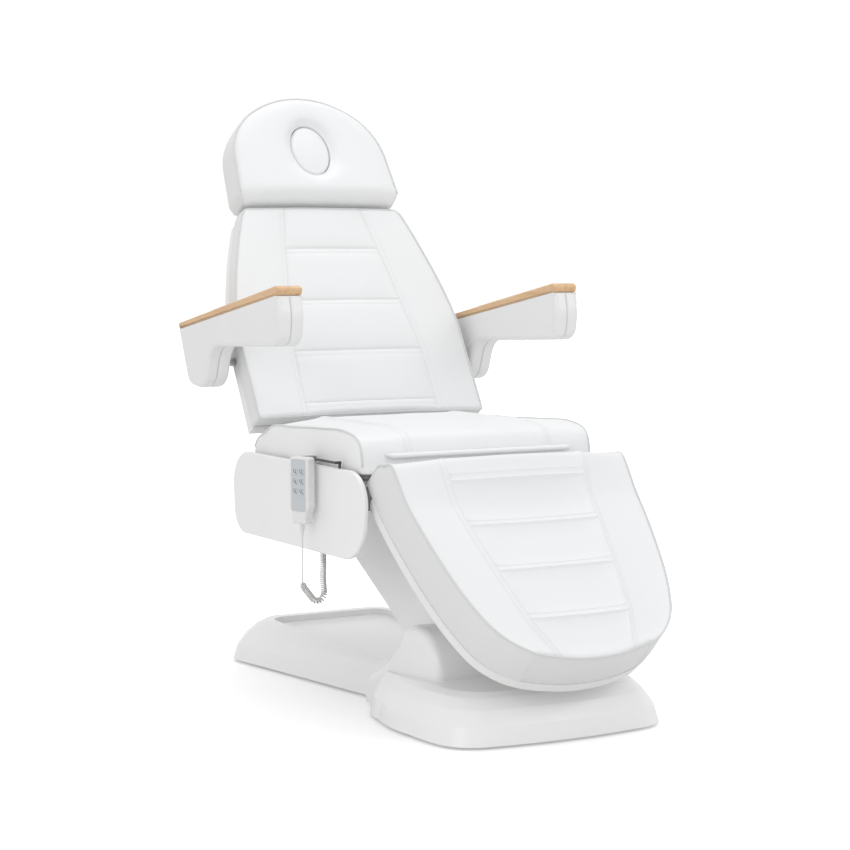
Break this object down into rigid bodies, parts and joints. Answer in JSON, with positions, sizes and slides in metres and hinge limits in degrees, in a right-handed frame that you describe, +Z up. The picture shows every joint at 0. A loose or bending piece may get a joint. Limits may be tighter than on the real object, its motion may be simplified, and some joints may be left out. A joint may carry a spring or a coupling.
{
  "type": "electric treatment chair",
  "caption": "Upholstered treatment chair on a motor-driven lift base, with a reclining back, a raising leg rest, folding armrests, a sliding headrest and a wired handset.",
  "frame": {"origin": "on the floor under the middle of the chair", "axes": "+Z up; the person faces -Y, so the leg rest is towards -Y; +X is to the right of someone who looks along +Y, the person's left hand"},
  "size_m": [0.79, 1.4623, 1.396],
  "materials": {
    "base_plastic": "satin white moulding",
    "arm_cover_plastic": "satin white moulding",
    "panel_plastic": "satin white moulding",
    "shell_plastic": "fine-grained white moulding",
    "arm_plastic": "satin white moulding",
    "handset_plastic": "pale grey moulding",
    "clip_plastic": "grey moulding",
    "grey_plastic": "grey housing",
    "black_plastic": "black moulding",
    "keypad_sheet": "grey-blue printed sheet",
    "key_rubber": "pale rubber key",
    "cord_plastic": "pale cable sheath",
    "foot_rubber": "black rubber",
    "steel_grey": "grey powder coat",
    "steel_white": "white powder coat",
    "pin_steel": "turned steel",
    "rod_chrome": "polished",
    "hook_wire": "dark coated wire",
    "seat_board": "plywood",
    "beech": "clear satin lacquer",
    "seat_upholstery": "white coated upholstery",
    "back_upholstery": "white coated upholstery",
    "head_upholstery": "white coated upholstery",
    "plug_upholstery": "white coated upholstery",
    "leg_upholstery": "white coated upholstery",
    "flap_upholstery": "white coated upholstery"
  },
  "bodies": {
    "base": {"base_cover": "base_plastic", "base_frame": "steel_grey", "base_feet": "foot_rubber", "hub_pins": "pin_steel", "mains_inlet": "black_plastic"},
    "lift_arm": {"lift_arm_frame": "steel_white", "lift_arm_cover": "arm_cover_plastic"},
    "tie": {"tie_arm": "steel_white"},
    "seat": {"seat_frame": "steel_white", "seat_board": "seat_board", "hinge_pins": "pin_steel", "seat_link_pins": "pin_steel", "seat_cushion": "seat_upholstery", "seat_front_flap": "flap_upholstery", "side_panel_left": "panel_plastic", "side_panel_right": "panel_plastic", "panel_spacers": "pin_steel", "control_box": "grey_plastic", "handset_socket": "black_plastic", "handset_hook": "hook_wire", "cord_curls": "cord_plastic"},
    "backrest": {"back_cushion": "back_upholstery", "back_board": "seat_board", "back_shell": "shell_plastic", "back_frame": "steel_white", "headrest_sockets": "pin_steel", "arm_pivots": "pin_steel"},
    "headrest": {"headrest_cushion": "head_upholstery", "headrest_board": "shell_plastic", "headrest_rods": "rod_chrome"},
    "face_plug": {"face_plug": "plug_upholstery"},
    "armrest_left": {"arm_inner_shell_left": "arm_plastic", "arm_outer_shell_left": "arm_plastic", "arm_top_left": "beech"},
    "armrest_right": {"arm_inner_shell_right": "arm_plastic", "arm_outer_shell_right": "arm_plastic", "arm_top_right": "beech"},
    "legrest": {"leg_cushion": "leg_upholstery", "leg_shell": "shell_plastic", "leg_frame": "steel_white"},
    "handset": {"handset_front": "handset_plastic", "handset_back": "handset_plastic", "keypad_sheet": "keypad_sheet", "handset_clip": "clip_plastic", "cord_boot": "cord_plastic", "cord_lead": "cord_plastic"},
    "lift_motor": {"lift_motor": "grey_plastic"},
    "lift_rod": {"lift_rod": "rod_chrome"},
    "back_motor": {"back_motor": "grey_plastic"},
    "back_rod": {"back_rod": "rod_chrome"},
    "leg_motor": {"leg_motor": "grey_plastic"},
    "leg_rod": {"leg_rod": "rod_chrome"},
    "key_1": {"key_1": "key_rubber"},
    "key_2": {"key_2": "key_rubber"},
    "key_3": {"key_3": "key_rubber"},
    "key_4": {"key_4": "key_rubber"},
    "key_5": {"key_5": "key_rubber"},
    "key_6": {"key_6": "key_rubber"}
  },
  "joints": [
    {"name": "lift_pivot", "type": "hinge", "parent": "base", "child": "lift_arm", "pos_m": [0, -0.31, 0.112], "axis": [1, 0, 0], "range_deg": [0, 41.7]},
    {"name": "tie_pivot", "type": "hinge", "parent": "base", "child": "tie", "pos_m": [0, -0.355, 0.147], "axis": [1, 0, 0], "range_deg": [0, 41.7]},
    {"name": "seat_pivot", "type": "hinge", "parent": "lift_arm", "child": "seat", "pos_m": [0, 0.1735, 0.39454], "axis": [1, 0, 0], "range_deg": [-41.7, 0]},
    {"name": "back_recline", "type": "hinge", "parent": "seat", "child": "backrest", "pos_m": [0, 0.294, 0.54], "axis": [-1, 0, 0], "range_deg": [-10, 60.3]},
    {"name": "leg_raise", "type": "hinge", "parent": "seat", "child": "legrest", "pos_m": [0, -0.247, 0.53], "axis": [-1, 0, 0], "range_deg": [0, 44.4]},
    {"name": "headrest_slide", "type": "slide", "parent": "backrest", "child": "headrest", "axis": [0, 0.4955, 0.8686], "range_m": [0, 0.1]},
    {"name": "face_plug_pull", "type": "slide", "parent": "headrest", "child": "face_plug", "axis": [0, -0.8686, 0.4955], "range_m": [0, 0.07]},
    {"name": "armrest_left_fold", "type": "hinge", "parent": "backrest", "child": "armrest_left", "pos_m": [0, 0.39176, 0.7559], "axis": [-1, 0, 0], "range_deg": [0, 75]},
    {"name": "armrest_right_fold", "type": "hinge", "parent": "backrest", "child": "armrest_right", "pos_m": [0, 0.39176, 0.7559], "axis": [-1, 0, 0], "range_deg": [0, 75]},
    {"name": "handset_lift", "type": "slide", "parent": "seat", "child": "handset", "axis": [0, 0, 1], "range_m": [0, 0.03]},
    {"name": "lift_motor_swing", "type": "hinge", "parent": "base", "child": "lift_motor", "pos_m": [0, -0.54, 0.06], "axis": [1, 0, 0], "range_deg": [-5, 5]},
    {"name": "lift_rod_slide", "type": "slide", "parent": "lift_motor", "child": "lift_rod", "axis": [0, 1, 0.0031], "range_m": [-0.001, 0.045]},
    {"name": "back_motor_swing", "type": "hinge", "parent": "seat", "child": "back_motor", "pos_m": [0, 0.015, 0.478], "axis": [1, 0, 0], "range_deg": [-8, 8]},
    {"name": "back_rod_slide", "type": "slide", "parent": "back_motor", "child": "back_rod", "axis": [0, 0.9976, 0.0689], "range_m": [-0.05, 0.02]},
    {"name": "leg_motor_swing", "type": "hinge", "parent": "seat", "child": "leg_motor", "pos_m": [0, 0.015, 0.478], "axis": [1, 0, 0], "range_deg": [-8, 8]},
    {"name": "leg_rod_slide", "type": "slide", "parent": "leg_motor", "child": "leg_rod", "axis": [0, -0.9997, 0.0235], "range_m": [-0.001, 0.04]},
    {"name": "key_1_press", "type": "slide", "parent": "handset", "child": "key_1", "axis": [0.9455, 0.3256, 0], "range_m": [0, 0.0008], "stiffness_N_per_m": 400},
    {"name": "key_2_press", "type": "slide", "parent": "handset", "child": "key_2", "axis": [0.9455, 0.3256, 0], "range_m": [0, 0.0008], "stiffness_N_per_m": 400},
    {"name": "key_3_press", "type": "slide", "parent": "handset", "child": "key_3", "axis": [0.9455, 0.3256, 0], "range_m": [0, 0.0008], "stiffness_N_per_m": 400},
    {"name": "key_4_press", "type": "slide", "parent": "handset", "child": "key_4", "axis": [0.9455, 0.3256, 0], "range_m": [0, 0.0008], "stiffness_N_per_m": 400},
    {"name": "key_5_press", "type": "slide", "parent": "handset", "child": "key_5", "axis": [0.9455, 0.3256, 0], "range_m": [0, 0.0008], "stiffness_N_per_m": 400},
    {"name": "key_6_press", "type": "slide", "parent": "handset", "child": "key_6", "axis": [0.9455, 0.3256, 0], "range_m": [0, 0.0008], "stiffness_N_per_m": 400}
  ],
  "couplings": [
    {"joint": "tie_pivot", "follows": "lift_pivot", "ratio": 1},
    {"joint": "seat_pivot", "follows": "lift_pivot", "ratio": -1},
    {"joint": "lift_motor_swing", "follows": "lift_pivot", "ratio": -0.01523},
    {"joint": "lift_rod_slide", "follows": "lift_pivot", "m_per_rad": 0.05355},
    {"joint": "back_motor_swing", "follows": "back_recline", "ratio": 0.01875},
    {"joint": "back_rod_slide", "follows": "back_recline", "m_per_rad": -0.043596},
    {"joint": "leg_motor_swing", "follows": "leg_raise", "ratio": 0.01605},
    {"joint": "leg_rod_slide", "follows": "leg_raise", "m_per_rad": 0.0483}
  ]
}
